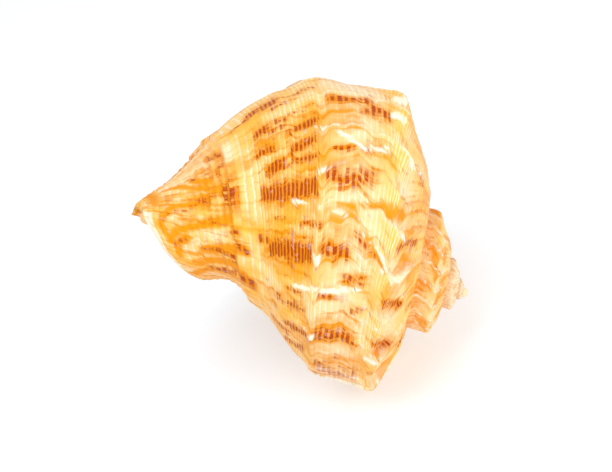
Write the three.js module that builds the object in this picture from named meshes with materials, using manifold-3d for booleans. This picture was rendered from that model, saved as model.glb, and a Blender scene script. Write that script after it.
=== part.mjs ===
// Rapana rapiformis, a turnip-shaped rock snail, as one hollow shell lying on its aperture.
// Millimetres, +Z up, apex towards +X, siphonal canal towards -X.
import * as THREE from "three";
import { mergeVertices } from "three/addons/utils/BufferGeometryUtils.js";
import Module from "manifold-3d";

const wasm = await Module();
wasm.setup();

// Driving dimensions
const UNIT_MM = 0.22; // millimetres in one unit of the outlines below
const EXPANSION = 2.4; // how much the whorl grows over one full turn
const LIP_DEG = 198; // growth angle of the outer lip
const SLICE_DEG = 350; // growth angle covered by one slice of the sweep
const SLICES = 4;
const JOINT_DEG = 5; // overlap of two slices
const JOINT_SUNK = 4; // and how deep it is sunk, in outline units
const AXIS_FILL = 0.02; // radius of the unswept sliver round the axis, per unit of distance from the apex
const SPINE_UNITS = 12; // height of the open spines on the shoulder
const CLIFF_DEG = 1.7; // growth angle over which a lamella drops behind its edge
const CAVITY_END_DEG = 224; // the cavity runs out past the lip
const CAVITY_START_DEG = -330; // and ends blind inside the spire

// How the shell lies: turns about its own axis, then its axis tilts and swings
const ROLL_DEG = -33;
const PITCH_DEG = 29;
const SMALLEST_MM = 0.06; // edges shorter than this are merged away after the joins
const FLOOR_FLAT_MM = 0.7; // depth worn off where the shell touches the ground

// Half outline of the whorl at growth angle 90: distance from the apex along the axis, radius.
// Suture, sutural ramp, shoulder keel (entry 4), side, mid keel (entry 7).
const WHORL = [
  [60, 72], [66, 104], [82, 130], [99, 150], [113, 169], [128, 172], [160, 172], [196, 169],
];
// How far each entry slides with the wave of the suture
const SUTURE_WAVE = [10, 7.5, 4, 1.5, 0, 0, 0, 0];
const BASE = [[214, 158], [236, 143.5], [254, 127]];

// Base and neck of the last turn, entries 8 to 18, at these growth angles
const NECK_DEG = [-180, -135, -90, -45, 0, 90, 180, 240];
const NECK = [
  [[141, 57], [152, 46], [162, 37], [176, 31], [200, 30], [235, 30], [262, 27], [305, 21]],
  [[157, 64], [175, 50], [188, 32], [196, 17], [214, 15], [236, 30], [258, 34], [288, 26]],
  [[175, 71], [196, 57], [209, 44], [219, 37], [236, 40], [252, 46], [262, 47], [270, 44]],
  [[196, 79], [215, 66], [230, 55], [247, 51], [264, 52], [279, 52], [291, 49], [300, 43]],
  [[218, 88], [236, 76], [252, 67], [268, 60], [285, 54], [303, 47], [318, 38], [330, 25]],
  [[267, 110], [279, 92], [289, 73], [299, 56], [309, 42], [320, 30], [331, 18], [339, 10]],
  [
    [258, 188], [277, 163], [291, 135], [303, 109], [313, 84], [321, 64], [328, 48], [333, 36],
    [337, 28], [340, 20], [342, 14],
  ],
  [
    [268, 208], [292, 180], [308, 148], [320, 118], [328, 92], [334, 70], [338, 53], [341, 40],
    [343, 30], [345, 21], [346, 15],
  ],
];

// Lag of the growth line behind the side of the whorl, in degrees, by entry of the outline
const LAG = [18, 12, 3, -5, -7, 0, 3, -2, 0, 1, 0, 0, 0, 0, 0, 0, 0, 0, 0];
// Further lag that the growth line takes on towards the outer lip
const LIP_BACK = [
  -15, -17, -16, -14, -8, -5, -11, -8, -10, -11, -10, -11, -12, -15, -18, -20, -22, -22, -22,
];
const LIP_BACK_DEG = 70; // growth angle over which it does
// Height of a growth lamella by entry, 1 at the open spines
const FLARE = [
  0, 0.1, 0.25, 0.7, 1, 0.5, 0.2, 0.42, 0.15, 0.13, 0.12, 0.12, 0.12, 0.12, 0.12, 0.1, 0.1, 0.08,
  0.05,
];
// Growth angle and strength of the lamellae on the last turn
const LAMELLAE = [
  [-179, 0.8], [-161, 1], [-143, 1], [-125, 1.1], [-103, 1.1], [-81, 1], [-60, 1], [-34, 1],
  [-15, 0.5], [4, 1.1], [22, 0.8], [36, 0.4], [53, 1], [74, 1], [93, 1], [112, 0.9], [131, 1],
  [150, 0.9], [169, 1], [198, 0.6],
];
// Ridge that bounds the neck: entry it runs along, half width in entries, height in outline units
const RIDGE_AT = 11.9;
const RIDGE_HALF = 0.45;
const RIDGE_UNITS = 3;
const RIDGE_FROM_DEG = -110; // growth angle where it starts to rise
// Outward flare of the outer lip by entry, in outline units
const LIP_FLARE = [0, 0, 0, 0, 0, 0, 0, 2, 5, 6, 5, 3, 1, 0, 0, 0, 0, 0, 0];
const LIP_FLARE_DEG = 50; // growth angle over which the lip flares
const SPIRE_LAMELLA_DEG = 18; // spacing of the older lamellae

// Entries of the outline that become edges of the facets
const STATIONS = [
  0, 1, 2, 2.6, 3, 3.5, 4, 4.5, 5, 6, 6.6, 7, 7.5, 8, 9, 10, 11, 11.5, 11.9, 12.3, 13, 14, 15, 16,
  17, 18,
];
const SPIRE_STATIONS = [0, 1, 2, 3, 3.6, 4, 4.6, 5, 6, 7, 8, 11, 14, 18];

// Wall of the shell, in outline units at growth angle 90
const WALL = 9;
// Outline entries the outer side of the cavity follows, deep inside and at the mouth
const CAVITY_ENTRIES = [0.8, 1.3, 2, 3, 4, 5, 6, 7, 8, 9, 10, 11, 12, 13, 14, 14.6];
const MOUTH_ENTRIES = [0.8, 1.3, 2, 3, 4, 5, 6, 7, 8, 9, 10, 11, 12, 13.4, 15.2, 16.6];
// Side of the cavity next to the columella at growth angle 90, then at the mouth
const COLUMELLA = [
  [64, 78], [72, 76], [88, 75], [95, 73], [100, 70], [113, 62], [128, 52], [135, 46], [155, 34],
  [180, 28], [205, 26], [222, 26], [235, 26], [250, 28], [262, 30], [275, 34],
];
const MOUTH_COLUMELLA = [
  [78, 96], [86, 94], [104, 91], [112, 88], [122, 81], [134, 71], [146, 60], [155, 52], [168, 42],
  [195, 34], [225, 31], [250, 29], [275, 26], [300, 21], [325, 15], [352, 8],
];
const CANAL_END = [352, 17]; // the canal runs out through the tip of the neck

// Bulb of the larval shell at the apex, radius and distance from the apex
const APEX_BULB = [[0, -2], [2.4, -1.4], [4.2, 0.4], [5, 3], [4.6, 6], [3, 9], [0, 10]];
// Solid pillar round the axis, hidden in the whorls
const PILLAR = [[0, 3], [2, 6], [6.5, 20], [6.5, 60], [9, 180], [9, 300], [7, 330], [0, 334]];

const rad = (deg) => (deg * Math.PI) / 180;
const scaleAt = (deg) => Math.pow(EXPANSION, (deg - 90) / 360);
const lerp = (a, b, w) => a + (b - a) * w;

// Value at x of the smooth curve through the knots that never overshoots them
function steady(x, xs, ys) {
  const n = xs.length;
  if (x >= xs[n - 1]) return ys[n - 1];
  let i = 0;
  while (x > xs[i + 1]) i++;
  const slope = (j) => (ys[j + 1] - ys[j]) / (xs[j + 1] - xs[j]);
  const tangent = (j) => {
    if (j === 0) return slope(0);
    if (j === n - 1) return slope(n - 2);
    const before = slope(j - 1);
    const after = slope(j);
    return before * after <= 0 ? 0 : (2 * before * after) / (before + after);
  };
  const h = xs[i + 1] - xs[i];
  const u = (x - xs[i]) / h;
  const rise = (2 * u ** 3 - 3 * u ** 2 + 1) * ys[i] + (3 * u ** 2 - 2 * u ** 3) * ys[i + 1];
  return rise + ((u ** 3 - 2 * u ** 2 + u) * tangent(i) + (u ** 3 - u ** 2) * tangent(i + 1)) * h;
}

// A neck row with the base of the whorl above it, entries 8 to 18
const NECK_ROWS = NECK.map((row, i) => {
  const s = scaleAt(NECK_DEG[i]);
  return row.length === 11 ? row : [...BASE.map(([a, r]) => [a * s, r * s]), ...row];
});

// Entry k of the half outline at growth angle deg
function entryAt(k, deg) {
  const s = scaleAt(deg);
  if (k < 8) {
    const slide = SUTURE_WAVE[k] * (1 - Math.sin(rad(deg)));
    return [(WHORL[k][0] + slide) * s, WHORL[k][1] * s];
  }
  if (deg < NECK_DEG[0]) {
    const older = s / scaleAt(NECK_DEG[0]);
    return NECK_ROWS[0][k - 8].map((v) => v * older);
  }
  return [0, 1].map((c) => steady(deg, NECK_DEG, NECK_ROWS.map((row) => row[k - 8][c])));
}

// Point and outward direction of the half outline between entries, at growth angle deg
function outlineAt(p, deg) {
  const k = Math.min(Math.floor(p), 17);
  const u = p - k;
  const at = (j) => {
    if (j < 0) return entryAt(0, deg).map((v, c) => 2 * v - entryAt(1, deg)[c]);
    if (j > 18) return entryAt(18, deg).map((v, c) => 2 * v - entryAt(17, deg)[c]);
    return entryAt(j, deg);
  };
  const [p0, p1, p2, p3] = [at(k - 1), at(k), at(k + 1), at(k + 2)];
  const point = [0, 1].map((c) => {
    const [m1, m2] = [(p2[c] - p0[c]) / 2, (p3[c] - p1[c]) / 2];
    const rise = (2 * u ** 3 - 3 * u ** 2 + 1) * p1[c] + (3 * u ** 2 - 2 * u ** 3) * p2[c];
    return rise + (u ** 3 - 2 * u ** 2 + u) * m1 + (u ** 3 - u ** 2) * m2;
  });
  const along = [0, 1].map((c) => lerp(p2[c] - p0[c], p3[c] - p1[c], u));
  const size = Math.hypot(along[0], along[1]);
  return { point, outward: [-along[1] / size, along[0] / size] };
}

// Growth angle and strength of every lamella, oldest first
const MARKS = [];
for (let deg = LAMELLAE[0][0] - SPIRE_LAMELLA_DEG; deg > -1400; deg -= SPIRE_LAMELLA_DEG) {
  MARKS.unshift([deg, 0.8]);
}
MARKS.push(...LAMELLAE);

// How far the surface is flared, 0 behind a lamella to 1 at its edge, times its strength
function flareAt(stage) {
  const next = MARKS.findIndex(([deg]) => deg >= stage - 1e-6);
  if (next < 1) return 0;
  const [edge, strength] = MARKS[next];
  const [last, lastStrength] = MARKS[next - 1];
  const drop = Math.max(0, 1 - (stage - last) / CLIFF_DEG) * lastStrength;
  const u = Math.max(0, (stage - last - CLIFF_DEG) / (edge - last - CLIFF_DEG));
  return drop + strength * u ** 2.2;
}

const between = (table, p) => {
  const k = Math.min(Math.floor(p), table.length - 2);
  return lerp(table[k], table[k + 1], p - k);
};

// Place a point given along the axis, out from it and round it
const place = (a, r, deg) => [-a, -r * Math.cos(rad(deg)), r * Math.sin(rad(deg))];

function shellPoint(p, stage, sunk) {
  const back = between(LIP_BACK, p) * THREE.MathUtils.smoothstep(stage, LIP_DEG - LIP_BACK_DEG, LIP_DEG);
  const deg = stage + between(LAG, p) + back;
  const { point, outward } = outlineAt(p, deg);
  const lip = between(LIP_FLARE, p) * THREE.MathUtils.smoothstep(stage, LIP_DEG - LIP_FLARE_DEG, LIP_DEG);
  const ridge = RIDGE_UNITS * Math.max(0, 1 - Math.abs(p - RIDGE_AT) / RIDGE_HALF);
  const risen = THREE.MathUtils.smoothstep(stage, RIDGE_FROM_DEG, RIDGE_FROM_DEG + 60);
  const flare = SPINE_UNITS * between(FLARE, p) * flareAt(stage) + ridge * risen;
  const raise = flare * scaleAt(deg) + lip - sunk;
  return [point[0] + outward[0] * raise, Math.max(point[1] + outward[1] * raise, 1), deg];
}

// Solid from a row of rings, each a run of outer points and a matching run of inner points
function sweep(rings) {
  const n = rings[0].length / 2;
  const positions = rings.flat(2);
  const indices = [];
  const quad = (a, b, c, d) => indices.push(a, c, b, a, d, c);
  const ringIndex = (i, k) => i * 2 * n + (k < n ? k : 3 * n - 1 - k);
  for (let i = 0; i + 1 < rings.length; i++) {
    for (let k = 0; k < 2 * n; k++) {
      const next = (k + 1) % (2 * n);
      quad(ringIndex(i, k), ringIndex(i, next), ringIndex(i + 1, next), ringIndex(i + 1, k));
    }
  }
  const end = (rings.length - 1) * 2 * n;
  for (let k = 0; k + 1 < n; k++) {
    quad(k, k + n, k + n + 1, k + 1);
    quad(end + k, end + k + 1, end + k + n + 1, end + k + n);
  }
  const geometry = new THREE.BufferGeometry();
  geometry.setAttribute("position", new THREE.Float32BufferAttribute(positions, 3));
  geometry.setIndex(indices);
  return geometry;
}

function stripped(geometry) {
  geometry.deleteAttribute("normal");
  geometry.deleteAttribute("uv");
  return geometry;
}

function solid(geometry) {
  const made = new wasm.Manifold(
    new wasm.Mesh({
      numProp: 3,
      vertProperties: new Float32Array(geometry.getAttribute("position").array),
      triVerts: new Uint32Array(geometry.index.array),
    }),
  );
  return made;
}

// One slice of the filled shell from growth stage "from" to "to"
function whorlSlice(from, to, stations) {
  const stages = new Set([from, to]);
  MARKS.forEach(([deg], i) => {
    const gap = i + 1 < MARKS.length ? MARKS[i + 1][0] - deg : 0;
    const middle = stations === STATIONS ? [deg + gap * 0.55] : [];
    for (const s of [deg, deg + CLIFF_DEG, ...middle]) if (s > from && s < to) stages.add(s);
  });
  const joint = to < LIP_DEG ? to + JOINT_DEG : to; // the older slice runs on inside the newer one
  stages.add(joint);
  const rings = [...stages].sort((a, b) => a - b).map((stage) => {
    const sunk = stage > to ? JOINT_SUNK * scaleAt(to) : 0;
    const outer = stations.map((p) => shellPoint(p, stage, sunk));
    const core = outer.map(([a]) => place(a, AXIS_FILL * a, stage));
    return [...outer.map(([a, r, deg]) => place(a, r, deg)), ...core];
  });
  return solid(sweep(rings));
}

// One slice of the cavity from growth angle "from" to "to"
function cavitySlice(from, to, steps) {
  const rings = [];
  for (let i = 0; i <= steps; i++) {
    const deg = lerp(from, to, i / steps);
    const s = scaleAt(deg);
    const open = THREE.MathUtils.smoothstep(deg, 90, 180);
    const past = scaleAt(Math.max(deg, 180)) / scaleAt(180);
    const outer = CAVITY_ENTRIES.map((entry, k) => {
      const { point, outward } = outlineAt(lerp(entry, MOUTH_ENTRIES[k], open), deg);
      const wall = WALL * s * (k > 12 ? 0.7 : 1);
      const [a, r] = point.map((v, c) => v - wall * outward[c]);
      if (k < CAVITY_ENTRIES.length - 1) return place(a, r, deg);
      return place(lerp(a, CANAL_END[0], open), lerp(r, CANAL_END[1], open), deg);
    });
    const inner = COLUMELLA.map(([a, r], k) => {
      const slide = SUTURE_WAVE[Math.min(k, 3)] * (1 - Math.sin(rad(Math.min(deg, 90))));
      const mouth = MOUTH_COLUMELLA[k].map((v) => v * (k < 8 ? past : 1));
      return place(lerp((a + slide) * s, mouth[0], open), lerp(r * s, mouth[1], open), deg);
    });
    rings.push([...outer, ...inner]);
  }
  return solid(sweep(rings));
}

function turned(profile, sides) {
  const points = profile.map(([r, a]) => new THREE.Vector2(r, a));
  const lathe = stripped(new THREE.LatheGeometry(points, sides));
  return mergeVertices(lathe.rotateZ(Math.PI / 2), 1e-4);
}

// The shell is the filled sweep, slice joined to slice, with the cavity taken out of it
let shell = solid(turned(APEX_BULB, 16)).add(solid(turned(PILLAR, 16)));
for (let i = 0; i < SLICES; i++) {
  const to = LIP_DEG - i * SLICE_DEG;
  shell = shell.add(whorlSlice(to - SLICE_DEG, to, i < 2 ? STATIONS : SPIRE_STATIONS));
}
const turnStart = CAVITY_END_DEG - SLICE_DEG;
shell = shell.subtract(cavitySlice(turnStart, CAVITY_END_DEG, 30));
shell = shell.subtract(cavitySlice(CAVITY_START_DEG, turnStart, 12));

// Lay it down, wear the touching spots flat and set the middle of its box over the origin
function laid(geometry) {
  geometry.scale(UNIT_MM, UNIT_MM, UNIT_MM);
  geometry.rotateX(rad(ROLL_DEG));
  geometry.rotateY(rad(PITCH_DEG));
  return geometry;
}

function geometryOf(manifold) {
  const mesh = manifold.getMesh();
  const positions = [];
  for (let i = 0; i < mesh.vertProperties.length; i += mesh.numProp) {
    positions.push(...mesh.vertProperties.slice(i, i + 3));
  }
  const geometry = new THREE.BufferGeometry();
  geometry.setAttribute("position", new THREE.Float32BufferAttribute(positions, 3));
  geometry.setIndex([...mesh.triVerts]);
  return geometry;
}

const lying = laid(geometryOf(shell));
lying.computeBoundingBox();
const box = lying.boundingBox;
const worn = box.min.z + FLOOR_FLAT_MM;
const slab = new THREE.BoxGeometry(200, 200, 20).translate(0, 0, worn - 10);
const flat = solid(lying).subtract(solid(mergeVertices(stripped(slab))));
const bodies = flat.simplify(SMALLEST_MM).decompose(); // the shell and any crumbs left by the joins
const rested = geometryOf(bodies.reduce((a, b) => (a.volume() > b.volume() ? a : b)));
rested.computeBoundingBox();
const low = rested.boundingBox;
rested.translate(-(low.min.x + low.max.x) / 2, -(low.min.y + low.max.y) / 2, -low.min.z);

const part = new THREE.Group();
const material = new THREE.MeshStandardMaterial({
  color: 0xe9c48a,
  roughness: 0.45,
  metalness: 0,
  side: THREE.FrontSide,
});
const mesh = new THREE.Mesh(rested, material);
mesh.name = "shell";
part.add(mesh);

export default part;
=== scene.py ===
"""Rapana rapiformis shell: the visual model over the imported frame, its stage and its camera."""
import math

import bpy
import numpy as np
from mathutils import Matrix, Vector


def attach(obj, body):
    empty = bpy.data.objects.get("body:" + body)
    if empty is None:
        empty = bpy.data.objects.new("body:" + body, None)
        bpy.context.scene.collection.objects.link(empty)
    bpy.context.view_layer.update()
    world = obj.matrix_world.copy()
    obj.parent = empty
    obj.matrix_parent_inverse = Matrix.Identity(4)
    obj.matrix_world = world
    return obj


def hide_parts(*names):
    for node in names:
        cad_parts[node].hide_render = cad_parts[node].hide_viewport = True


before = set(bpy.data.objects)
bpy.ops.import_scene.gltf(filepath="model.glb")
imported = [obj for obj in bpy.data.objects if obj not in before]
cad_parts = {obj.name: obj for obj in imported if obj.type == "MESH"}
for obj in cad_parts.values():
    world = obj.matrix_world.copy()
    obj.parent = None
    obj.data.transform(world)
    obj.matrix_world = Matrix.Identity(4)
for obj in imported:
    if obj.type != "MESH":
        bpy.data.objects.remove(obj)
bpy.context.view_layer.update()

bl_info = {
    "name": "Rapana shell",
    "version": (1, 0, 0),
    "blender": (4, 5, 0),
    "location": "3D View > Sidebar > Rapana",
    "description": "Builds a rapana shell with its markings, its floor, lights and camera",
    "category": "Add Mesh",
}

# Driving dimensions, in outline units of 0.22 mm
UNIT = 0.00022
EXPANSION = 2.4
SLICE_DEG = 350.0
SLICES = 4
JOINT_DEG = 5.0
JOINT_SUNK = 4.0
AXIS_FILL = 0.02
CLIFF_DEG = 1.7
CAVITY_PAST_LIP_DEG = 14.0
CAVITY_START_DEG = -330.0
WALL = 9.0
LIP_FLARE_DEG = 50.0
SPIRE_LAMELLA_DEG = 18.0

# Where the shell frame sits once the shell lies down
ROLL_DEG = -33.0
PITCH_DEG = 29.0
APEX_M = Vector((0.033465, -0.008349, 0.013092))

# Half outline of the whorl at growth angle 90: distance from the apex along the axis, radius
WHORL = [(60, 72), (66, 104), (82, 130), (99, 150), (113, 169), (128, 172), (160, 172), (196, 169)]
SUTURE_WAVE = [10, 7.5, 4, 1.5, 0, 0, 0, 0]
BASE = [(214, 158), (236, 143.5), (254, 127)]
NECK_DEG = [-180, -135, -90, -45, 0, 90, 180, 240]
NECK = [
    [(141, 57), (152, 46), (162, 37), (176, 31), (200, 30), (235, 30), (262, 27), (305, 21)],
    [(157, 64), (175, 50), (188, 32), (196, 17), (214, 15), (236, 30), (258, 34), (288, 26)],
    [(175, 71), (196, 57), (209, 44), (219, 37), (236, 40), (252, 46), (262, 47), (270, 44)],
    [(196, 79), (215, 66), (230, 55), (247, 51), (264, 52), (279, 52), (291, 49), (300, 43)],
    [(218, 88), (236, 76), (252, 67), (268, 60), (285, 54), (303, 47), (318, 38), (330, 25)],
    [(267, 110), (279, 92), (289, 73), (299, 56), (309, 42), (320, 30), (331, 18), (339, 10)],
    [(258, 188), (277, 163), (291, 135), (303, 109), (313, 84), (321, 64), (328, 48), (333, 36),
     (337, 28), (340, 20), (342, 14)],
    [(268, 208), (292, 180), (308, 148), (320, 118), (328, 92), (334, 70), (338, 53), (341, 40),
     (343, 30), (345, 21), (346, 15)],
]
LAG = [18, 12, 3, -5, -7, 0, 3, -2, 0, 1, 0, 0, 0, 0, 0, 0, 0, 0, 0]
LIP_BACK = [-15, -17, -16, -14, -8, -5, -11, -8, -10, -11, -10, -11, -12, -15, -18, -20, -22, -22, -22]
LIP_BACK_DEG = 70.0
FLARE = [0, 0.1, 0.25, 0.7, 1, 0.5, 0.2, 0.42, 0.15, 0.13, 0.12, 0.12, 0.12, 0.12, 0.12, 0.1, 0.1,
         0.08, 0.05]
LIP_FLARE = [0, 0, 0, 0, 0, 0, 0, 2, 5, 6, 5, 3, 1, 0, 0, 0, 0, 0, 0]
LAMELLAE = [
    (-179, 0.8), (-161, 1), (-143, 1), (-125, 1.1), (-103, 1.1), (-81, 1), (-60, 1), (-34, 1),
    (-15, 0.5), (4, 1.1), (22, 0.8), (36, 0.4), (53, 1), (74, 1), (93, 1), (112, 0.9), (131, 1),
    (150, 0.9), (169, 1), (198, 0.6),
]
CAVITY_ENTRIES = [0.8, 1.3, 2, 3, 4, 5, 6, 7, 8, 9, 10, 11, 12, 13, 14, 14.6]
MOUTH_ENTRIES = [0.8, 1.3, 2, 3, 4, 5, 6, 7, 8, 9, 10, 11, 12, 13.4, 15.2, 16.6]
COLUMELLA = [
    (64, 78), (72, 76), (88, 75), (95, 73), (100, 70), (113, 62), (128, 52), (135, 46), (155, 34),
    (180, 28), (205, 26), (222, 26), (235, 26), (250, 28), (262, 30), (275, 34),
]
MOUTH_COLUMELLA = [
    (78, 96), (86, 94), (104, 91), (112, 88), (122, 81), (134, 71), (146, 60), (155, 52), (168, 42),
    (195, 34), (225, 31), (250, 29), (275, 26), (300, 21), (325, 15), (352, 8),
]
CANAL_END = (352, 17)
APEX_BULB = [(0, -2), (2.4, -1.4), (4.2, 0.4), (5, 3), (4.6, 6), (3, 9), (0, 10)]
PILLAR = [(0, 3), (2, 6), (6.5, 20), (6.5, 60), (9, 180), (9, 300), (7, 330), (0, 334)]
INSIDE = -10.0  # outline coordinate given to the surfaces of the cavity

# Rust brown bands along the growth lines of the side that the photo shows:
# outline entry and growth angle of the band's two ends, half width in degrees, strength
BANDS = [
    (1.7, 19.5, 3.6, 12, 2.2, 0.8), (2.2, -13.5, 4.2, -12.5, 1.8, 0.95),
    (2.2, -36.5, 3.6, -36.5, 1.7, 0.8), (3.7, -33, 4.5, -31.5, 1.7, 0.8),
    (2.1, 34.5, 3.7, 30, 1.3, 0.5), (1.8, 54, 2.8, 51, 2.4, 0.5), (3.4, 50.5, 4.3, 49, 1.3, 0.5),
    (3.7, -56, 4.4, -53, 2.2, 0.7), (0.4, -15, 1.5, -17, 2.0, 0.7), (1.0, -45, 1.8, -60, 5, 0.6),
    (4.9, 66.5, 5.8, 67, 2.6, 0.9), (5.6, 73.5, 6.8, 69.5, 1.6, 0.9),
    (5.2, 46.5, 5.8, 45.5, 2.2, 0.75), (6.1, 45, 6.7, 42.5, 1.6, 0.7),
    (5.4, 34, 7.0, 32, 3.2, 0.75), (5.2, 7, 5.9, 11, 2.6, 0.75), (6.1, 4.5, 6.95, 4, 2.6, 1.05),
    (5.3, -5, 6.1, -6, 1.8, 0.8), (6.4, -14, 6.9, -14.5, 1.3, 0.7), (5.4, -18, 5.9, -19, 1.5, 0.5),
    (5.4, -33.5, 6.0, -31, 2.3, 1), (6.0, -31, 6.95, -35, 2.3, 1.05), (5.2, -60, 6.9, -60, 5, 0.7),
    (7.1, 82, 8.2, 81, 2.0, 0.5), (8.9, 81, 10.5, 78, 2.6, 1.0), (10.4, 77.5, 11.4, 76, 2, 0.5),
    (8.3, 75.5, 9.3, 72.5, 1.2, 0.75), (7.6, 66, 8.7, 64.5, 0.9, 0.65), (8.7, 62, 9.4, 62.5, 1.3, 0.8),
    (8.7, 59.5, 9.4, 57.5, 1.3, 0.8), (9.4, 61, 10.3, 59.5, 2.2, 1.0), (7.3, 57.5, 8.7, 54, 1.9, 1.0),
    (7.5, 47.5, 8.7, 44, 2.0, 1.0), (9.4, 47.8, 10.4, 47, 1.6, 0.9), (7.3, 40, 8.7, 38.5, 1.5, 0.8),
    (9.0, 38.5, 9.9, 36.5, 2.8, 1.0), (7.3, 27, 10.3, 25, 3.4, 1.15), (6.9, 13, 8.4, 12, 1.3, 0.6),
    (9.0, 14, 10.0, 13, 1.5, 0.6), (7.4, 1, 10.0, -0.5, 4.0, 1.15), (10, 3, 10.8, 3, 2, 0.8),
    (8.0, -17.5, 9.0, -18, 1.0, 0.7), (7.7, -25.5, 9.9, -27, 1.8, 0.8), (7.2, -37, 9.1, -40.5, 1.5, 1.0),
    (8.9, -48, 10.3, -48.5, 1.8, 0.8), (7.6, -51, 9.2, -57.5, 2.4, 0.8),
    (11.6, 28, 12.6, 29, 7, 0.8), (12.3, 63, 12.7, 66, 3, 0.95), (12.8, 68, 13.1, 69, 3, 0.95),
    (12.2, 52.5, 12.6, 51, 2, 0.75), (12.5, 46, 12.8, 49, 3, 0.65), (13.1, 49, 13.4, 52, 3, 0.65),
    (14.1, 53, 14.5, 56, 3.5, 0.75), (14.8, 46, 15.2, 46, 2, 0.65), (13.3, 25.5, 14.1, 26.5, 2.6, 1.0),
    (14.0, 26, 14.9, 17, 1.5, 0.6), (14.9, 16.5, 15.8, 14.5, 1.8, 1.0), (13.1, 9, 13.6, 9, 2.5, 0.8),
    (11.8, 4, 12.3, 4, 2, 0.8), (11.5, -8, 12.0, -3, 2.5, 0.75), (12.2, -16, 13.3, -15, 2.3, 0.9),
    (13.3, -14, 14.5, -20, 1.7, 0.8), (15.1, -12, 16.0, -22, 2.4, 0.9), (15.9, 13, 16.7, -9, 2.5, 0.6),
    (11.3, -31, 12.2, -30, 2.4, 1.0), (12.4, -30, 14.3, -43, 3.2, 1.05),
]
# White frills and rims of spines on the same side, in the same terms: partly chalky shell, partly
# painted highlight where the raised edges catch the light
FRILLS = [
    (5.0, 47.5, 5.7, 46, 1.3, 0.9), (5.7, 46, 6.6, 50.5, 1.3, 0.9), (7.8, 20.5, 8.8, 21.5, 1.1, 0.7),
    (6.2, 18, 6.7, 19, 1.1, 0.6), (5.5, -8.5, 6.2, -10.5, 1.2, 0.8), (6.2, -11.5, 6.8, -13, 1.3, 0.9),
    (6.8, -13, 8.5, -15.5, 1.2, 0.8), (6.92, 0, 7.1, -2, 2.2, 1), (7.1, -2, 7.3, 0, 2.2, 1),
    (6.92, 53, 7.2, 51, 1.6, 0.9), (6.95, 34, 7.35, 32, 1.5, 0.9), (6.95, 20, 7.2, 18, 1.3, 0.7),
    (6.9, -36, 7.2, -38, 1.4, 0.8),
    (3.1, -1, 3.7, -1, 1.7, 1), (3.7, -1, 4.2, 2, 1.6, 1), (4.2, 2, 5.2, 9, 1.5, 0.9),
    (5.2, 9, 5.7, 13, 1.3, 0.6), (2.2, 4, 3.1, -1, 1.6, 0.8), (1.3, 13, 2.2, 4, 1.4, 0.5),
    (3.2, 16, 3.9, 16, 1.5, 0.9), (3.9, 16, 4.6, 20, 1.4, 0.7), (3.2, 47, 3.9, 46.5, 1.6, 0.9),
    (3.9, 46.5, 4.5, 50, 1.3, 0.7), (4.0, 64, 4.9, 66.5, 1.7, 1), (3.7, 84, 4.6, 82, 3, 0.9),
    (4.0, -24.5, 5.7, -21, 1.2, 0.6), (3.6, -43, 4.9, -41, 2, 0.9), (4.2, -70, 5.0, -68, 3, 0.8),
]
# Orange patches of the same side, in the same terms
GLOWS = [
    (4.6, 1.5, 5.6, 12.5, 1.8, 1.0), (4.4, 25.7, 6.6, 21, 1.2, 0.9), (3.1, 25, 4.8, 22.5, 2.2, 0.9),
    (7.4, 12.6, 9.6, 13, 1.4, 0.7), (5.2, -4.3, 5.8, -4, 2.0, 0.8), (6.2, -14.4, 6.8, -15.6, 1.2, 0.6),
    (4.8, -15.3, 5.2, -10.7, 2.0, 0.7), (5.4, -24.3, 5.8, -17.6, 2.0, 0.7), (4.6, 65, 5.1, 67, 2.0, 0.8),
    (5.2, -46, 6.0, -45.3, 1.5, 0.7), (1.5, -46.9, 2.6, -43.2, 2.5, 0.6), (2.1, 8.4, 3.0, 9.6, 3.0, 0.8),
    (1.3, 0, 2.1, 0, 6.0, 0.6), (6.6, -37.2, 8.0, -38.4, 1.6, 0.7), (3.7, 30, 4.5, 40, 3.0, 0.5),
]
# Broad orange arcs of the neck: runs of outline entry and growth angle
NECK_ARCS = [
    [(13.5, 28.5), (14.7, 23.5), (15.8, 18), (16.4, 5.5), (16.6, -7.5), (16.3, -16.5)],
    [(12.3, 13), (13.1, 9.5), (14.7, 1.5), (15.7, -8.5), (16.3, -22)],
    [(15.1, -11.5), (15.8, -22), (16, -32.5)], [(11.6, -7), (12.6, -10), (14.3, -19.5)],
    [(11.4, -34), (11.9, -26.5), (12.6, -22.5), (13.8, -27.5), (15, -37.5)],
    [(12.6, -38), (14.1, -41.5), (15.6, -56)], [(12.6, 34), (13.4, 37.5), (14.7, 45), (16.2, 58)],
    [(13.3, 44), (14.3, 52)],
]
SEEN_DEG = (-68.0, 88.0)  # growth angles the photo shows; elsewhere the bands are made up
CORDS_PER_ENTRY = 5.2
NECK_CORDS_PER_ENTRY = 2.2
NECK_FROM = 10.5  # outline entry where the cords turn coarse
GROOVE_DEPTH = 0.42  # open groove of a spine, share of the spine's height
TOOTH_DEG = 2.5  # how far each tooth of the middle keel reaches ahead
NECK_RIDGE = 3.2  # height of the ridge that bounds the neck, outline units
HIDDEN_BAND_DEG = 12  # growth angle from one made-up band to the next
ENTRY_DEG = 14  # growth angle that is as long as one outline entry on the neck
ARC_WIDTH = 0.32  # of the neck's arcs, in entries


def scale_at(deg):
    return EXPANSION ** ((np.asarray(deg, float) - 90) / 360)


def smoothstep(x, a, b):
    w = np.clip((x - a) / (b - a), 0, 1)
    return w * w * (3 - 2 * w)


def window(x, a, b, c, d):
    """Rises smoothly from a to b and falls again from c to d."""
    return smoothstep(x, a, b) * (1 - smoothstep(x, c, d))


def bell(x, middle, width):
    return np.exp(-((x - middle) / width) ** 2)


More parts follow.
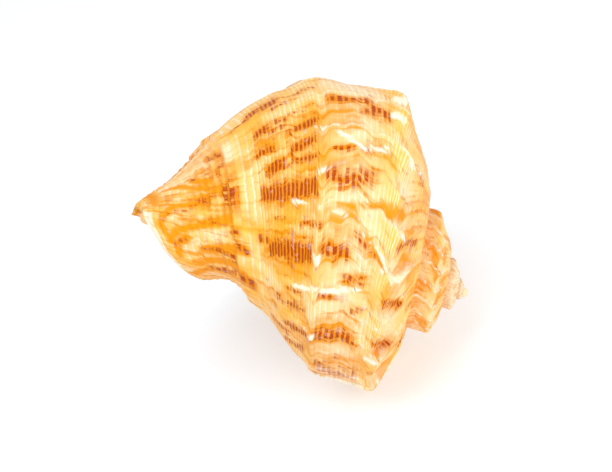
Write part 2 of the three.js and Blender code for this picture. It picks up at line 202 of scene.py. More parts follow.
def steady(x, xs, ys):
    """Smooth curve through the knots that never overshoots them; ys has one row per knot."""
    xs, ys = np.asarray(xs, float), np.asarray(ys, float)
    shape = (-1,) + (1,) * (ys.ndim - 1)
    h = np.diff(xs).reshape(shape)
    d = np.diff(ys, axis=0) / h
    product = d[:-1] * d[1:]
    total = d[:-1] + d[1:]
    middle = np.where(product > 0, 2 * product / np.where(total == 0, 1, total), 0)
    m = np.concatenate([d[:1], middle, d[-1:]])
    x = np.clip(x, xs[0], xs[-1])
    i = np.clip(np.searchsorted(xs, x, side="right") - 1, 0, len(xs) - 2)
    u = ((x - xs[i]) / np.diff(xs)[i]).reshape(shape)
    h = np.diff(xs)[i].reshape(shape)
    rise = (2 * u**3 - 3 * u**2 + 1) * ys[i] + (3 * u**2 - 2 * u**3) * ys[i + 1]
    return rise + ((u**3 - 2 * u**2 + u) * m[i] + (u**3 - u**2) * m[i + 1]) * h


def neck_rows():
    rows = []
    for deg, row in zip(NECK_DEG, NECK):
        s = float(scale_at(deg))
        head = [] if len(row) == 11 else [(a * s, r * s) for a, r in BASE]
        rows.append(head + list(row))
    return np.array(rows, float)


NECK_ROWS = neck_rows()


def entries(deg):
    """All 19 entries of the half outline at each growth angle: array (19, n, 2)."""
    deg = np.asarray(deg, float)
    s = scale_at(deg)
    table = np.empty((19, len(deg), 2))
    wave = 1 - np.sin(np.radians(deg))
    for k in range(8):
        table[k, :, 0] = (WHORL[k][0] + SUTURE_WAVE[k] * wave) * s
        table[k, :, 1] = WHORL[k][1] * s
    rows = steady(deg, NECK_DEG, NECK_ROWS)
    older = deg < NECK_DEG[0]
    rows[older] = NECK_ROWS[0][None] * (s[older] / scale_at(NECK_DEG[0]))[:, None, None]
    table[8:] = rows.transpose(1, 0, 2)
    return table


def outline(p, deg):
    """Point and outward direction of the half outline between entries."""
    table = entries(deg)
    table = np.concatenate([2 * table[:1] - table[1:2], table, 2 * table[-1:] - table[-2:-1]])
    p = np.asarray(p, float)
    k = np.clip(np.floor(p).astype(int), 0, 17)
    u = (p - k)[:, None]
    n = np.arange(len(p))
    p0, p1, p2, p3 = (table[k + j, n] for j in range(4))
    m1, m2 = (p2 - p0) / 2, (p3 - p1) / 2
    point = (2 * u**3 - 3 * u**2 + 1) * p1 + (3 * u**2 - 2 * u**3) * p2
    point = point + (u**3 - 2 * u**2 + u) * m1 + (u**3 - u**2) * m2
    along = m1 + (m2 - m1) * u
    along /= np.linalg.norm(along, axis=1)[:, None]
    return point, np.stack([-along[:, 1], along[:, 0]], axis=1)


def between(table, p):
    return np.interp(p, np.arange(len(table)), table)


def marks(lip_deg):
    older = np.arange(LAMELLAE[0][0] - SPIRE_LAMELLA_DEG, -1400, -SPIRE_LAMELLA_DEG)[::-1]
    edges = np.concatenate([older, [m[0] for m in LAMELLAE]])
    strengths = np.concatenate([np.full(len(older), 0.8), [m[1] for m in LAMELLAE]])
    edges[-1] = lip_deg
    return edges, strengths


def flare_at(stage, lip_deg):
    """Flare of the surface: grows to 1 at a lamella's edge, then drops; rounded knobs on the spire."""
    edges, strengths = marks(lip_deg)
    i = np.clip(np.searchsorted(edges, stage - 1e-6), 1, len(edges) - 1)
    last, edge = edges[i - 1], edges[i]
    drop = np.clip(1 - (stage - last) / CLIFF_DEG, 0, 1) * strengths[i - 1]
    u = np.clip((stage - last - CLIFF_DEG) / (edge - last - CLIFF_DEG), 0, 1)
    knob = 0.4 + 0.4 * np.cos(np.radians((stage - LAMELLAE[0][0]) * 360 / SPIRE_LAMELLA_DEG))
    spire = 1 - smoothstep(stage, -270, -210)
    return (drop + strengths[i] * u**2.6) * (1 - spire) + knob * spire


def hollow_at(p, stage, lip_deg):
    """Depth of the open groove that each spine leaves above its edge, as a share of its height."""
    edges, strengths = marks(lip_deg)
    i = np.clip(np.searchsorted(edges, stage - 1e-6), 1, len(edges) - 1)
    behind = stage - edges[i - 1]
    shape = window(behind, 0, CLIFF_DEG, 3, 11)
    return GROOVE_DEPTH * strengths[i - 1] * shape * bell(p, 3.3, 0.9)


def hash01(i, seed):
    v = np.sin(np.asarray(i, float) * 127.1 + seed * 311.7) * 43758.5453
    return v - np.floor(v)


def ripple(x, seed):
    """Smooth random wave of one dimension, from -1 to 1."""
    i = np.floor(x)
    u = x - i
    u = u * u * (3 - 2 * u)
    return (hash01(i, seed) * (1 - u) + hash01(i + 1, seed) * u) * 2 - 1


def place(a, r, deg):
    t = np.radians(deg)
    return np.stack([-a, -r * np.cos(t), r * np.sin(t)], axis=-1)


def growth_lag(p, stage, jagged):
    """How far the growth line hangs back at p; jagged makes the lamella edges uneven."""
    fine = ripple(p * 3.1, 2) + 0.6 * ripple(p * 6.3 + stage / 18, 5)
    near = np.clip(p / 1.5, 0, 1) * np.clip((18 - p) / 3, 0, 1)
    tooth = -TOOTH_DEG * bell(p, 7.1, 0.2)
    return between(LAG, p) + jagged * fine * near + tooth


def cord_count(p):
    """Number of spiral cords from the suture to p, finer on the whorl than on the neck."""
    return np.where(p < NECK_FROM, p * CORDS_PER_ENTRY,
                    NECK_FROM * CORDS_PER_ENTRY + (p - NECK_FROM) * NECK_CORDS_PER_ENTRY)


def relief(p, stage):
    """Height of the scaly cords of the neck and of the ridge that bounds it, outline units."""
    count = cord_count(p)
    scaly = 0.65 + 0.35 * ripple(stage / 5 + 1.7 * np.round(count), 6)
    height = np.interp(p, [10.8, 12, 13, 14.5, 16.8, 17.8], [0, 1.1, 1.1, 0.55, 0.55, 0])
    cords = height * scaly * np.cos(2 * np.pi * count)
    ridge = NECK_RIDGE * bell(p, 11.9, 0.28) * smoothstep(stage, -110, -50)
    return cords * smoothstep(stage, -200, -120) + ridge


def growth_deg(p, stage, settings):
    """Growth angle of the surface at p of one growth line."""
    back = smoothstep(stage, settings.lip_deg - LIP_BACK_DEG, settings.lip_deg)
    return stage + growth_lag(p, stage, settings.jagged_deg) + between(LIP_BACK, p) * back


def shell_points(p, stage, settings, sunk):
    deg = growth_deg(p, stage, settings)
    point, outward = outline(p, deg)
    flare = between(FLARE, p) * flare_at(stage, settings.lip_deg)
    flare = settings.spine_units * (flare - hollow_at(p, stage, settings.lip_deg))
    lip = between(LIP_FLARE, p)
    lip = lip * smoothstep(stage, settings.lip_deg - LIP_FLARE_DEG, settings.lip_deg)
    raised = (flare + relief(p, stage)) * scale_at(deg) + lip - sunk
    point = point + outward * raised[:, None]
    point[:, 1] = np.maximum(point[:, 1], 1)
    return point, deg


def wrapped_grid(name, rings, growth, across):
    """A grid primitive wrapped onto closed rings, its ends closed along the middle of each ring."""
    count, around = rings.shape[:2]
    bpy.ops.object.select_all(action="DESELECT")
    bpy.ops.mesh.primitive_grid_add(x_subdivisions=around, y_subdivisions=count - 1, size=2)
    obj = bpy.context.object
    obj.name = name
    mesh = obj.data
    co = np.empty(len(mesh.vertices) * 3)
    mesh.vertices.foreach_get("co", co)
    co = co.reshape(-1, 3)
    column = np.rint((co[:, 0] + 1) / 2 * around).astype(int) % around
    row = np.rint((co[:, 1] + 1) / 2 * (count - 1)).astype(int)
    mesh.vertices.foreach_set("co", rings[row, column].ravel())
    uv = mesh.uv_layers[0]
    uv.name = "Growth"
    loops = np.empty(len(mesh.loops), int)
    mesh.loops.foreach_get("vertex_index", loops)
    values = np.stack([growth[row, column], across[row, column]], axis=1)[loops]
    uv.data.foreach_set("uv", values.ravel())
    mesh.update()
    bpy.ops.object.mode_set(mode="EDIT")
    bpy.ops.mesh.select_all(action="SELECT")
    bpy.ops.mesh.remove_doubles(threshold=2e-3)
    bpy.ops.mesh.normals_make_consistent(inside=False)
    bpy.ops.object.mode_set(mode="OBJECT")
    return obj


def closed(rings, growth, across):
    """Adds a ring at each end with its outer points moved onto the matching inner ones."""
    half = rings.shape[1] // 2
    first, last = rings[0].copy(), rings[-1].copy()
    first[:half] = first[half:][::-1]
    last[:half] = last[half:][::-1]
    rings = np.concatenate([first[None], rings, last[None]])
    growth = np.concatenate([growth[:1], growth, growth[-1:]])
    across = np.concatenate([across[:1], across, across[-1:]])
    return rings, growth, across


def stations(fine):
    head = np.arange(0, 10, 0.125 * fine)
    return np.concatenate([head, np.arange(10, 18.001, 0.09 * fine)])


def whorl_slice(start, stop, settings, fine):
    edges, _ = marks(settings.lip_deg)
    step = settings.growth_step_deg * fine
    stages = [np.arange(start, stop, step), edges, edges + 0.4, edges + CLIFF_DEG * 0.6]
    stages = np.concatenate(stages + [edges + CLIFF_DEG])
    stages = np.unique(np.round(stages[(stages > start) & (stages < stop)], 3))
    stages = stages[np.concatenate([[True], np.diff(stages) > 0.25])]
    joint = stop + JOINT_DEG if stop < settings.lip_deg else stop
    stages = np.unique(np.concatenate([[start], stages, [stop, joint]]))
    across = stations(fine)
    n = len(across)
    rings = np.empty((len(stages), 2 * n, 3))
    for i, stage in enumerate(stages):
        sunk = JOINT_SUNK * float(scale_at(stop)) if stage > stop else 0.0
        point, deg = shell_points(across, np.full(n, stage), settings, sunk)
        rings[i, :n] = place(point[:, 0], point[:, 1], deg)
        core = np.maximum(point[:, 0], 0.5)
        rings[i, n:] = place(point[:, 0], AXIS_FILL * core, np.full(n, stage))[::-1]
    growth = np.repeat(stages[:, None], 2 * n, axis=1)
    side = np.repeat(np.concatenate([across, across[::-1]])[None], len(stages), axis=0)
    return wrapped_grid("whorl", *closed(rings, growth, side))


def dense(table, count):
    """Resamples a run of points smoothly to count points."""
    x = np.linspace(0, len(table) - 1, count)
    return steady(x, np.arange(len(table)), np.asarray(table, float))


def cavity_slice(start, stop, settings):
    degrees = np.linspace(start, stop, max(4, int((stop - start) / 3)))
    count = 64
    inside, mouth = dense(CAVITY_ENTRIES, count), dense(MOUTH_ENTRIES, count)
    near, near_mouth = dense(COLUMELLA, count), dense(MOUTH_COLUMELLA, count)
    order = np.linspace(0, len(CAVITY_ENTRIES) - 1, count)
    thin = np.where(order > 12, 0.7, 1.0)
    last = np.clip(order - (len(CAVITY_ENTRIES) - 2), 0, 1)[:, None]
    rings = []
    for deg in degrees:
        s = float(scale_at(deg))
        opening = float(smoothstep(deg, 90, 180))
        past = float(scale_at(max(deg, 180)) / scale_at(180))
        point, outward = outline(inside + (mouth - inside) * opening, np.full(count, deg))
        outer = point - outward * (WALL * s * thin)[:, None]
        outer = outer + (np.array(CANAL_END) - outer) * last * opening
        wave = np.array([SUTURE_WAVE[min(int(round(k)), 3)] for k in order])
        slide = wave * (1 - math.sin(math.radians(min(deg, 90))))
        deep = np.stack([(near[:, 0] + slide) * s, near[:, 1] * s], axis=1)
        grown = np.where(order < 8, past, 1.0)[:, None]
        inner = deep + (near_mouth * grown - deep) * opening
        ring = np.concatenate([outer, inner[::-1]])
        rings.append(place(ring[:, 0], ring[:, 1], np.full(2 * count, deg)))
    rings = np.array(rings)
    growth = np.repeat(degrees[:, None], 2 * count, axis=1)
    side = np.concatenate([np.full(count, INSIDE), np.full(count, INSIDE - 2)])
    side = np.repeat(side[None], len(degrees), axis=0)
    return wrapped_grid("hollow", *closed(rings, growth, side))


def turned(name, profile, p):
    """A solid turned about the shell's axis from radius and distance pairs."""
    rings = []
    smooth = dense(profile, 24)
    for r, a in smooth:
        angles = np.arange(48) * 7.5
        rings.append(place(np.full(48, a), np.full(48, max(r, 0)), angles))
    rings = np.array(rings)
    growth = np.full(rings.shape[:2], -1300.0)
    return wrapped_grid(name, rings, growth, np.full(rings.shape[:2], p))


def combine(target, tool, operation):
    """Joins or cuts target with tool, and removes the tool."""
    bpy.ops.object.select_all(action="DESELECT")
    target.select_set(True)
    bpy.context.view_layer.objects.active = target
    bpy.ops.object.modifier_add(type="BOOLEAN")
    modifier = target.modifiers[-1]
    modifier.operation = operation
    modifier.solver = "MANIFOLD"
    modifier.object = tool
    bpy.ops.object.modifier_apply(modifier=modifier.name)
    bpy.data.objects.remove(tool)
    if len(target.data.polygons) < 1000:
        raise RuntimeError("the shell was lost in a join")
    return target


def soft_noise(x, y, seed):
    """Smooth random field of two dimensions, from 0 to 1."""
    i, j = np.floor(x), np.floor(y)
    u, v = smoothstep(x - i, 0, 1), smoothstep(y - j, 0, 1)
    low = hash01(i + 57 * j, seed) * (1 - u) + hash01(i + 1 + 57 * j, seed) * u
    high = hash01(i + 57 * (j + 1), seed) * (1 - u) + hash01(i + 1 + 57 * (j + 1), seed) * u
    return low * (1 - v) + high * v


def listed_marks(table, p, deg, wide):
    """Strength at each place of the marks listed in a table; wide spreads them."""
    total = np.zeros(len(p))
    for p0, deg0, p1, deg1, half, strength in table:
        w = (p - p0) / (p1 - p0)
        away = deg - (deg0 + (deg1 - deg0) * np.clip(w, -0.3, 1.3))
        ends = window(p, p0 - 0.2 * wide, p0 + 0.1, p1 - 0.1, p1 + 0.2 * wide)
        total = np.maximum(total, strength * ends * bell(away, 0, 1.25 * half * wide))
    return total


def made_up_bands(p, stage, wide):
    """Bands of the sides the photo hides: one every dozen degrees, broken up along the outline."""
    row = stage / HIDDEN_BAND_DEG + 0.25 * ripple(p * 0.7, 11)
    near = np.abs(row - np.round(row)) * HIDDEN_BAND_DEG
    broken = soft_noise(p * 0.9, np.round(row) * 3.1, 12)
    band = bell(near, 0, 2.4 * wide) * smoothstep(broken, 0.25, 0.75)
    return band * (1 - 0.4 * smoothstep(p, 11, 13)) * (0.2 + 0.8 * past_spire(stage))


def past_spire(stage):
    """0 on the older turns, 1 on the last one."""
    return smoothstep(stage, -210, -150)


def seen_share(deg):
    a, b = SEEN_DEG
    return window(deg, a - 8, a + 2, b - 2, b + 8)


def brown_at(p, stage, deg, wide):
    seen = seen_share(deg)
    shown = listed_marks(BANDS, p, deg, wide) * (1 - 0.35 * smoothstep(p, 12, 12.8))
    return shown * seen + made_up_bands(p, stage, wide) * (1 - seen)


def neck_streaks(p, deg):
    return smoothstep(soft_noise(p * 0.9, deg / 5, 23), 0.2, 0.8) * smoothstep(p, 11.4, 12.4)


def neck_arcs(p, deg):
    """Closeness to the broad arcs of the neck, from 0 to 1."""
    nearest = np.full(len(p), 9.0)
    for run in NECK_ARCS:
        for (p0, deg0), (p1, deg1) in zip(run, run[1:]):
            along, up = p1 - p0, (deg1 - deg0) / ENTRY_DEG
            x, y = p - p0, (deg - deg0) / ENTRY_DEG
            share = np.clip((x * along + y * up) / (along**2 + up**2), 0, 1)
            nearest = np.minimum(nearest, np.hypot(x - share * along, y - share * up))
    return bell(nearest, 0, ARC_WIDTH)


def orange_at(p, stage, deg):
    halo = 0.8 * brown_at(p, stage, deg, 1.9)
    patch = 0.5 * smoothstep(soft_noise(p * 0.8, stage / 9, 21), 0.45, 0.85)
    neck = 0.22 * neck_streaks(p, deg) * (1 - 0.7 * smoothstep(deg, 30, 48))
    rim = 0.8 * bell(p, 16.9, 0.45) * smoothstep(deg, 0, 30)
    arcs = 0.95 * neck_arcs(p, deg)
    suture = 0.7 * (1 - smoothstep(p, 0.6, 1.6)) * smoothstep(deg, 10, 25)
    glow = listed_marks(GLOWS, p, deg, 1.0) * seen_share(deg)
    # Painted shade: more orange towards the underside of the last whorl, which lies in shade
    below = 0.3 * smoothstep(p, 4.6, 5.4) * (1 - smoothstep(deg, -50, -15))
    spire = 0.7 * smoothstep(soft_noise(p * 1.2, stage / 9, 51), 0.4, 0.8)
    spire = spire * window(stage, -620, -480, -230, -170)
    return strongest(halo, patch, neck, rim, arcs, suture, glow, below, spire)


def strongest(*fields):
    return np.clip(np.max(fields, axis=0), 0, 1)


def white_at(p, stage, deg, lip_deg):
    """White edges of the lamellae and spines, partly chalky shell and partly painted highlight where the
    raised edges catch the light, and the pale rim of the neck.
    """
    edges, strengths = marks(lip_deg)
    i = np.clip(np.searchsorted(edges, stage), 1, len(edges) - 1)
    ahead, behind = edges[i] - stage, stage - edges[i - 1]
    edge = strengths[i] * bell(ahead, 0, 2)
    edge = np.maximum(edge, strengths[i - 1] * bell(behind, 0, 1.8))
    along = np.interp(p, [0, 1.5, 2.5, 5, 7, 8.5, 10, 11], [0.1, 0.6, 1, 1, 0.9, 0.5, 0.2, 0.1])
    gap = smoothstep(soft_noise(p * 2.3, np.round(stage / 6), 31), 0.15, 0.6)
    end = p - np.interp(deg, [-100, -70, -48, -37, 5, 20], [17.8, 16.6, 16.5, 17.1, 17.2, 18.6])
    rim = 0.7 * smoothstep(end, -0.3, 0.2) * (1 - 0.75 * smoothstep(-deg, 62, 95))
    rim = rim * smoothstep(stage, -120, -90)
    seen = seen_share(deg)
    edge = edge * along * (0.3 + 0.7 * gap) * (1 - 0.6 * seen)
    edge = edge * (0.65 + 0.35 * past_spire(stage))
    frill = listed_marks(FRILLS, p, deg, 0.75) * seen
    return strongest(edge, frill, rim)


def pale_at(p, stage, deg, lip_deg):
    """Pale shell with painted light mixed in: grooves of the spines, pale partly in their own colour and
    partly as painted light falling into the hollows; side below the shoulder, apex and parts of the
    neck; a painted highlight on the ridge of the neck and painted sheen along the shoulder ramp.
    """
    edges, _ = marks(lip_deg)
    i = np.clip(np.searchsorted(edges, stage), 1, len(edges) - 1)
    behind = stage - edges[i - 1]
    # Partly pale shell, partly painted light: the open groove behind each spine is paled where light
    # falls into the hollow
    groove = bell(p, 3.4, 1.3) * (1 - smoothstep(behind, 4, 13)) * 0.8
    side = 0.55 * bell(p, 6.0, 1.0)
    far = 0.4 * window(p, 12.5, 13.5, 16.2, 16.6) * smoothstep(deg, 38, 55)
    neck = 0.5 * window(p, 12, 13, 16.2, 16.6) * (1 - neck_streaks(p, deg))
    # Painted highlight: a pale pinkish patch on the ridge that bounds the neck
    ridge = 0.8 * bell(p, 11.9, 0.4) * bell(deg, 57, 10)
    apex = np.interp(stage, [-640, -520, -230, -170], [1, 0.4, 0.2, 0])
    # Partly pale shell, partly painted sheen: a pale band along the shoulder ramp
    ramp = 0.5 * bell(p, 3.0, 0.8) * smoothstep(soft_noise(p, stage / 20, 41), 0.1, 0.6)
    return strongest(groove, side, far, neck, ridge, apex, ramp)


def paint_growth(shell, settings):
    """Writes the densities of the markings and the cord count to the mesh, corner by corner."""
    mesh = shell.data
    uv = np.empty(len(mesh.loops) * 2)
    mesh.uv_layers["Growth"].data.foreach_get("uv", uv)
    stage, p = uv[0::2], uv[1::2]
    outside = p >= 0
    q = np.clip(p, 0, 18)
    deg = growth_deg(q, stage, settings)
    fields = {
        "brown": brown_at(q, stage, deg, 1.0) * outside,
        "orange": orange_at(q, stage, deg) * outside,
        "white": white_at(q, stage, deg, settings.lip_deg) * outside,
        "pale": pale_at(q, stage, deg, settings.lip_deg) * outside,
        "inside": 1.0 * ~outside,
        "cords": cord_count(q),
    }
    for name, values in fields.items():
        layer = mesh.attributes.new(name, "FLOAT", "CORNER")
        layer.data.foreach_set("value", values.astype(np.float32))


class Nodes:
    """Adds shader nodes to one material, each from its inputs."""

    def __init__(self, name):
        self.material = bpy.data.materials.new(name)
        self.material.use_nodes = True
        self.tree = self.material.node_tree
        self.shader = self.tree.nodes["Principled BSDF"]

    def feed(self, socket, value):
        if isinstance(value, bpy.types.NodeSocket):
            self.tree.links.new(value, socket)
        else:
            socket.default_value = value

    def math(self, operation, a, b=0.0, c=0.0, clamp=False):
        node = self.tree.nodes.new("ShaderNodeMath")
        node.operation = operation
        node.use_clamp = clamp
        for socket, value in zip(node.inputs, (a, b, c)):
            self.feed(socket, value)
        return node.outputs[0]

    def field(self, name):
        node = self.tree.nodes.new("ShaderNodeAttribute")
        node.attribute_name = name
        return node.outputs["Fac"]

    def growth(self):
        node = self.tree.nodes.new("ShaderNodeUVMap")
        node.uv_map = "Growth"
        parts = self.tree.nodes.new("ShaderNodeSeparateXYZ")
        self.feed(parts.inputs[0], node.outputs[0])
        return parts.outputs[0], parts.outputs[1]

    def noise(self, x, y, detail=2.0):
        vector = self.tree.nodes.new("ShaderNodeCombineXYZ")
        self.feed(vector.inputs[0], x)
        self.feed(vector.inputs[1], y)
        node = self.tree.nodes.new("ShaderNodeTexNoise")
        node.noise_dimensions = "2D"
        self.feed(node.inputs["Vector"], vector.outputs[0])
        node.inputs["Scale"].default_value = 1.0
        node.inputs["Detail"].default_value = detail
        return node.outputs[0]

    def ramp(self, value, low, high):
        node = self.tree.nodes.new("ShaderNodeMapRange")
        node.interpolation_type = "SMOOTHSTEP"
        for socket, v in zip(node.inputs, (value, low, high, 0.0, 1.0)):
            self.feed(socket, v)
        return node.outputs[0]

    def mix(self, share, first, second):
        node = self.tree.nodes.new("ShaderNodeMix")
        node.data_type = "RGBA"
        self.feed(node.inputs[0], share)
        self.feed(node.inputs[6], first)
        self.feed(node.inputs[7], second)
        return node.outputs[2]


def linear(r, g, b):
    """Colour for a socket from its everyday 0 to 255 values."""
    shares = [v / 255 for v in (r, g, b)]
    steep = [v / 12.92 if v < 0.0407 else ((v + 0.055) / 1.055) ** 2.4 for v in shares]
    return tuple(steep) + (1.0,)


CREAM = linear(255, 210, 128)
HONEY = linear(251, 189, 72)
PEACH = linear(251, 197, 90)
ORANGE = linear(243, 152, 4)
RUST = linear(178, 70, 0)
CHALK = linear(255, 246, 222)
SHELL_PINK = linear(252, 217, 178)


def shell_finish():
    """Cream shell with orange and rust dashes where the growth bands cross the cords."""
    n = Nodes("natural shell")
    stage, p = n.growth()
    count = n.field("cords")
    wobble = n.math("MULTIPLY", n.noise(n.math("MULTIPLY", stage, 0.25), count), 3.0)
    crest = n.math("COSINE", n.math("MULTIPLY_ADD", count, 2 * math.pi, wobble))
    own = n.math("MULTIPLY", n.math("FLOOR", count), 7.31)
    ragged = n.math("SUBTRACT", n.noise(n.math("MULTIPLY", stage, 0.22), own, 1.0), 0.5)
    drift = n.noise(n.math("MULTIPLY", stage, 0.06), n.math("MULTIPLY", count, 0.12))
    lines = n.noise(n.math("MULTIPLY", stage, 1.6), n.math("MULTIPLY", count, 0.1), 1.0)
    streaks = n.noise(n.math("MULTIPLY", stage, 0.33), n.math("MULTIPLY", count, 0.07), 1.0)
    streaks = n.ramp(streaks, 0.5, 0.72)
    # Painted shade: the grooves between the coarse cords of the neck get more brown and orange than the
    # crests
    neck = n.math("MULTIPLY", n.ramp(p, 11.0, 12.2), n.ramp(p, 15.0, 13.0))
    groove = n.math("MULTIPLY", n.math("MULTIPLY_ADD", crest, -0.5, 0.5), neck)
    speck = n.math("SUBTRACT", n.noise(n.math("MULTIPLY", stage, 0.9), own, 1.0), 0.5)
    tone = n.math("MULTIPLY_ADD", ragged, 1.3, n.field("brown"))
    tone = n.math("MULTIPLY_ADD", speck, 1.0, tone)
    tone = n.math("MULTIPLY_ADD", streaks, 0.22, tone)
    tone = n.math("MULTIPLY_ADD", groove, 0.3, tone)
    # The orange field also carries the painted shade on the underside of the last whorl
    wash = n.math("MULTIPLY_ADD", ragged, 0.6, n.field("orange"))
    wash = n.math("MULTIPLY_ADD", streaks, 0.3, wash)
    wash = n.math("MULTIPLY_ADD", groove, 0.25, wash)
    dash = n.math("MULTIPLY_ADD", n.ramp(crest, -0.75, 0.3), 0.72, 0.28)
    brown = n.math("MULTIPLY", n.ramp(tone, 0.22, 0.9), dash, clamp=True)
    base = n.mix(n.ramp(drift, 0.35, 0.7), CREAM, HONEY)
    base = n.mix(n.ramp(p, 5.3, 4.5), base, PEACH)
    # The pale field carries painted light too: the lit spine grooves, the highlight on the neck ridge
    # and the sheen on the shoulder ramp
    base = n.mix(n.math("MULTIPLY", n.field("pale"), 0.7), base, CHALK)
    young = n.math("MULTIPLY_ADD", n.ramp(stage, -260.0, -160.0), 0.8, 0.2)
    gaps = n.math("MULTIPLY", n.ramp(crest, -0.3, -1.0), n.ramp(drift, 0.72, 0.35))
    gaps = n.math("MULTIPLY", gaps, young)
    base = n.mix(n.math("MULTIPLY", gaps, 0.6), base, CHALK)
    base = n.mix(n.ramp(wash, 0.0, 0.9), base, ORANGE)
    base = n.mix(brown, base, RUST)
    # White edges: partly chalky shell, partly painted highlight where the raised lamella edges catch the
    # light
    edge_white_and_highlight = n.math("MULTIPLY_ADD", ragged, 0.9, n.field("white"))
    edge_white_and_highlight = n.math("MULTIPLY_ADD", speck, 0.5, edge_white_and_highlight)
    base = n.mix(n.math("MULTIPLY", n.ramp(edge_white_and_highlight, 0.15, 0.8), 0.95), base, CHALK)
    base = n.mix(n.field("inside"), base, SHELL_PINK)
    n.feed(n.shader.inputs["Base Color"], base)
    n.shader.inputs["Roughness"].default_value = 0.35
    n.shader.inputs["Specular IOR Level"].default_value = 0.12
    outside = n.math("SUBTRACT", 1.0, n.field("inside"))
    smooth = n.math("MULTIPLY_ADD", n.ramp(p, 4.4, 5.4), 0.8, 0.2)
    smooth = n.math("MULTIPLY", smooth, young)
    height = n.math("MULTIPLY_ADD", lines, 0.9, n.math("MULTIPLY", crest, smooth))
    bump = n.tree.nodes.new("ShaderNodeBump")
    bump.inputs["Strength"].default_value = 0.6
    bump.inputs["Distance"].default_value = 0.00012
    n.feed(bump.inputs["Height"], n.math("MULTIPLY", height, outside))
    n.feed(n.shader.inputs["Normal"], bump.outputs[0])
    return n.material


class RapanaSettings(bpy.types.PropertyGroup):
    lip_deg: bpy.props.FloatProperty(
        name="Lip angle", description="Growth angle of the outer lip, degrees", default=198.0)
    spine_units: bpy.props.FloatProperty(
        name="Spine height", description="Height of the open spines, outline units", default=12.0)
    jagged_deg: bpy.props.FloatProperty(
        name="Jagged edges", description="Unevenness of the lamella edges, degrees", default=1.3)
    growth_step_deg: bpy.props.FloatProperty(
        name="Growth step", description="Growth angle between rings, degrees", default=1.6)


class RAPANA_OT_shell(bpy.types.Operator):
    """Builds the hollow shell"""
    bl_idname = "rapana.shell"
    bl_label = "Build shell"

    def execute(self, context):
        settings = context.scene.rapana
        shell = turned("shell_visual", PILLAR, 0.0)
        combine(shell, turned("bulb", APEX_BULB, 2.0), "UNION")
        for i in range(SLICES):
            stop = settings.lip_deg - i * SLICE_DEG
            fine = 1 if i < 1 else (1.5 if i < 2 else 3)
            combine(shell, whorl_slice(stop - SLICE_DEG, stop, settings, fine), "UNION")
        past = settings.lip_deg + CAVITY_PAST_LIP_DEG
        combine(shell, cavity_slice(past - SLICE_DEG, past, settings), "DIFFERENCE")
        combine(shell, cavity_slice(CAVITY_START_DEG, past - SLICE_DEG + 3, settings), "DIFFERENCE")
        shell.data.transform(Matrix.Translation(APEX_M) @ lying() @ Matrix.Scale(UNIT, 4))
        bpy.ops.object.select_all(action="DESELECT")
        bpy.ops.mesh.primitive_cube_add(size=0.2, location=(0, 0, -0.1))
        ground = context.object
        bpy.ops.object.transform_apply(location=True, rotation=True, scale=True)
        combine(shell, ground, "DIFFERENCE")
        bpy.ops.object.select_all(action="DESELECT")
        shell.select_set(True)
        context.view_layer.objects.active = shell
        bpy.ops.object.shade_smooth_by_angle(angle=math.radians(38))
        paint_growth(shell, settings)
        shell.data.materials.clear()
        shell.data.materials.append(shell_finish())
        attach(shell, "root")
        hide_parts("shell")
        print("shell triangles", sum(len(q.vertices) - 2 for q in shell.data.polygons))
        return {"FINISHED"}


class RAPANA_OT_stage(bpy.types.Operator):
    """Builds the floor, the lights and the camera"""
    bl_idname = "rapana.stage"
    bl_label = "Build stage"

    def execute(self, context):
        bpy.ops.object.select_all(action="DESELECT")
        bpy.ops.mesh.primitive_plane_add(size=6)
        floor = context.object
        floor.name = "floor"
        paint = bpy.data.materials.new("floor")
        paint.use_nodes = True
        shader = paint.node_tree.nodes["Principled BSDF"]
        shader.inputs["Base Color"].default_value = (0.58, 0.62, 0.67, 1)
        shader.inputs["Roughness"].default_value = 0.7
        shader.inputs["Emission Color"].default_value = (1, 1, 1, 1)
        shader.inputs["Emission Strength"].default_value = 0.47
        floor.data.materials.append(paint)
        world = bpy.data.worlds.new("soft white")
        context.scene.world = world
        world.use_nodes = True
        world.node_tree.nodes["Background"].inputs[0].default_value = (1, 1, 1, 1)
        world.node_tree.nodes["Background"].inputs[1].default_value = 0.66
        context.scene.view_settings.view_transform = "Standard"
        aim_camera(context)
        soft_light("key", (-0.05, -0.2, 0.45), 0.3, 1.15)
        soft_light("fill", (0.35, -0.25, 0.2), 0.3, 0.6)
        return {"FINISHED"}


CAMERA_TILT_DEG = 13.5
CAMERA_AWAY_DEG = 6.0
FOCAL_PX = 2600
PHOTO_WIDTH_PX = 612
SENSOR_MM = 36
CAMERA_M = FOCAL_PX * UNIT
APEX_PX = (466.0, 293.0)
MIDDLE_PX = (306.0, 236.0)


def lying():
    """Turn that lays the shell down, as a 4 x 4 matrix."""
    pitch = Matrix.Rotation(math.radians(PITCH_DEG), 4, "Y")
    return pitch @ Matrix.Rotation(math.radians(ROLL_DEG), 4, "X")


def camera_axes():
    """Camera right, up and towards-viewer directions in the world, from the fitted view."""
    tilt, away = math.radians(CAMERA_TILT_DEG), math.radians(CAMERA_AWAY_DEG)
    c = Vector((math.cos(away) * math.cos(tilt), -math.cos(away) * math.sin(tilt), -math.sin(away)))
    m = Vector((math.sin(tilt), math.cos(tilt), 0))
    n = c.cross(m)
    shell_axes = Matrix((c, -n, m)).transposed()  # columns: shell axes seen by the camera
    return lying().to_3x3() @ shell_axes.transposed()  # columns: camera axes in the world


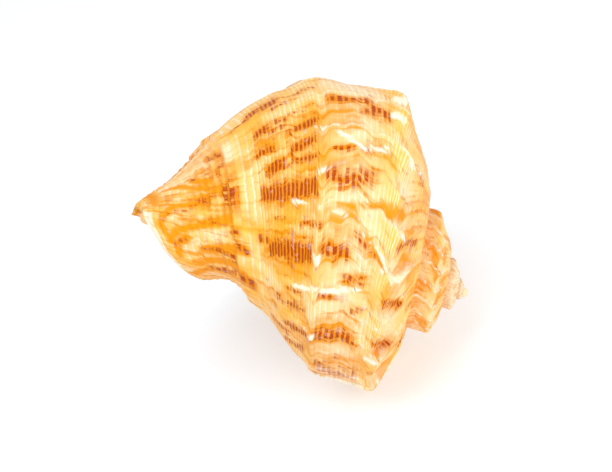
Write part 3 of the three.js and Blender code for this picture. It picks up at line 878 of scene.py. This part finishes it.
def aim_camera(context):
    turn = camera_axes()
    bpy.ops.object.camera_add()
    camera = context.object
    camera.name = "camera"
    eye = APEX_M + turn @ Vector((0, 0, CAMERA_M))
    dx, dy = (MIDDLE_PX[0] - APEX_PX[0]) / FOCAL_PX, -(MIDDLE_PX[1] - APEX_PX[1]) / FOCAL_PX
    forward = (turn @ Vector((dx, dy, -1))).normalized()
    up = turn @ Vector((0, 1, 0))
    right = forward.cross(up).normalized()
    up = right.cross(forward)
    pose = Matrix((right, up, -forward)).transposed().to_4x4()
    camera.matrix_world = Matrix.Translation(eye) @ pose
    camera.data.sensor_width = SENSOR_MM
    stretch = math.sqrt(1 + dx * dx + dy * dy)
    camera.data.lens = SENSOR_MM * FOCAL_PX * stretch / PHOTO_WIDTH_PX
    camera.data.clip_start = 0.01
    context.scene.camera = camera


def soft_light(name, where, size, energy):
    bpy.ops.object.light_add(type="AREA", location=where)
    light = bpy.context.object
    light.name = name
    light.data.size = size
    light.data.energy = energy
    towards = Vector((0, 0, 0.03)) - Vector(where)
    light.rotation_euler = towards.to_track_quat("-Z", "Y").to_euler()


class RAPANA_PT_panel(bpy.types.Panel):
    """Settings and steps of the shell"""
    bl_label = "Rapana"
    bl_idname = "RAPANA_PT_panel"
    bl_space_type = "VIEW_3D"
    bl_region_type = "UI"
    bl_category = "Rapana"

    def draw(self, context):
        for name in RapanaSettings.__annotations__:
            self.layout.prop(context.scene.rapana, name)
        for step in STEPS:
            self.layout.operator("rapana." + step)


STEPS = ["shell", "stage"]
CLASSES = (RapanaSettings, RAPANA_OT_shell, RAPANA_OT_stage, RAPANA_PT_panel)


def register():
    for cls in CLASSES:
        bpy.utils.register_class(cls)
    bpy.types.Scene.rapana = bpy.props.PointerProperty(type=RapanaSettings)


def unregister():
    del bpy.types.Scene.rapana
    for cls in reversed(CLASSES):
        bpy.utils.unregister_class(cls)


def main():
    register()
    for step in STEPS:
        getattr(bpy.ops.rapana, step)()


if __name__ == "__main__":
    main()
